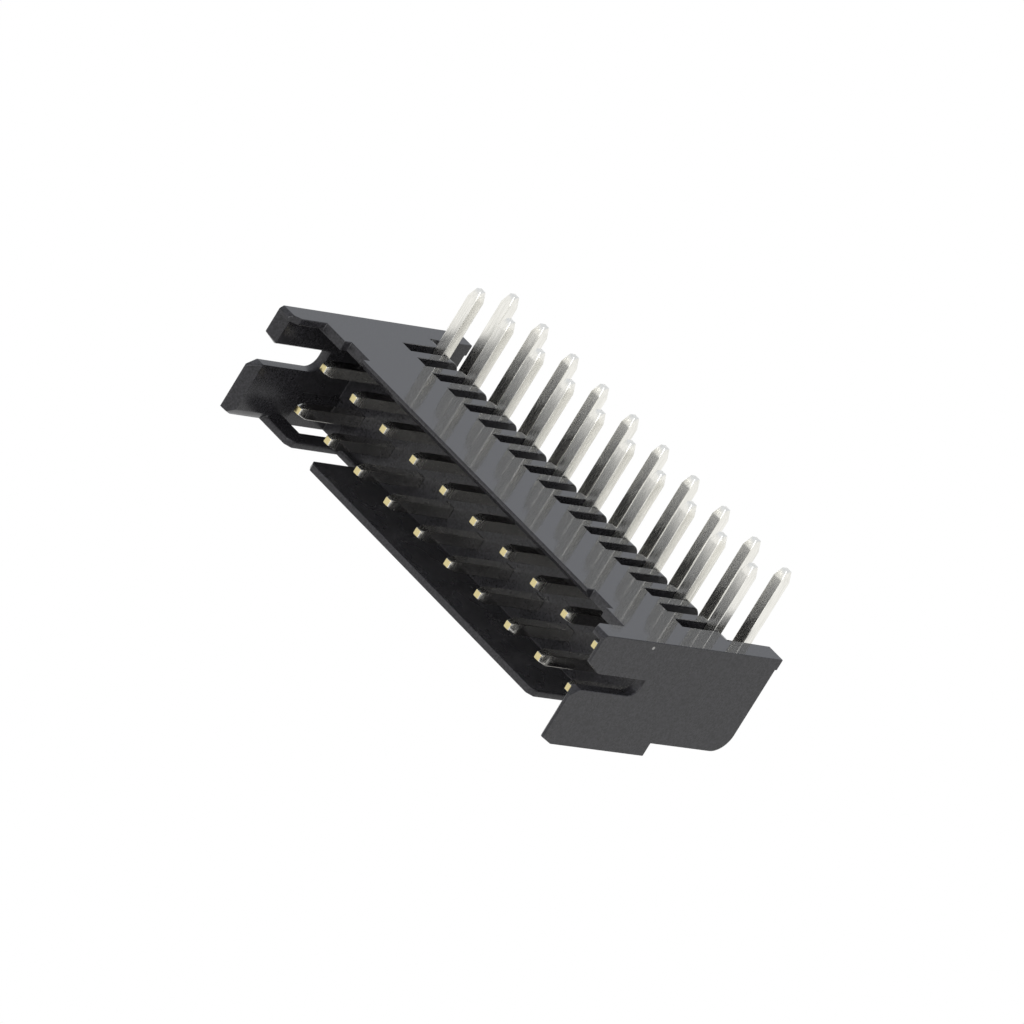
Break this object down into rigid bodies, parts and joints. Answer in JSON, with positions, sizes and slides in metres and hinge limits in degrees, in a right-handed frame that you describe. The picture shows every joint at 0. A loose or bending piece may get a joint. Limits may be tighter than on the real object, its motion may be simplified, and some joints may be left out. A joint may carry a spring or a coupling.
{
  "type": "right-angle box header",
  "caption": "Right-angle box header for a circuit board: two rows of square pins in a keyed, shrouded side-entry housing, with solder tails held in line by a comb",
  "frame": {"origin": "centre of the solder-tail grid, on the housing face that seats on the board", "axes": "+X along the two rows, -Y out of the open mouth, +Z away from the board, solder tails along -Z"},
  "size_m": [0.0216, 0.0105, 0.008],
  "materials": {
    "housing_plastic": "satin black glass-filled moulding",
    "pin_metal": "matte tin plating over brass, bare cut ends"
  },
  "bodies": {
    "root": {"housing": "housing_plastic", "short_pin_1": "pin_metal", "short_pin_2": "pin_metal", "short_pin_3": "pin_metal", "short_pin_4": "pin_metal", "short_pin_5": "pin_metal", "short_pin_6": "pin_metal", "short_pin_7": "pin_metal", "short_pin_8": "pin_metal", "short_pin_9": "pin_metal", "short_pin_10": "pin_metal", "long_pin_1": "pin_metal", "long_pin_2": "pin_metal", "long_pin_3": "pin_metal", "long_pin_4": "pin_metal", "long_pin_5": "pin_metal", "long_pin_6": "pin_metal", "long_pin_7": "pin_metal", "long_pin_8": "pin_metal", "long_pin_9": "pin_metal", "long_pin_10": "pin_metal"}
  },
  "joints": []
}
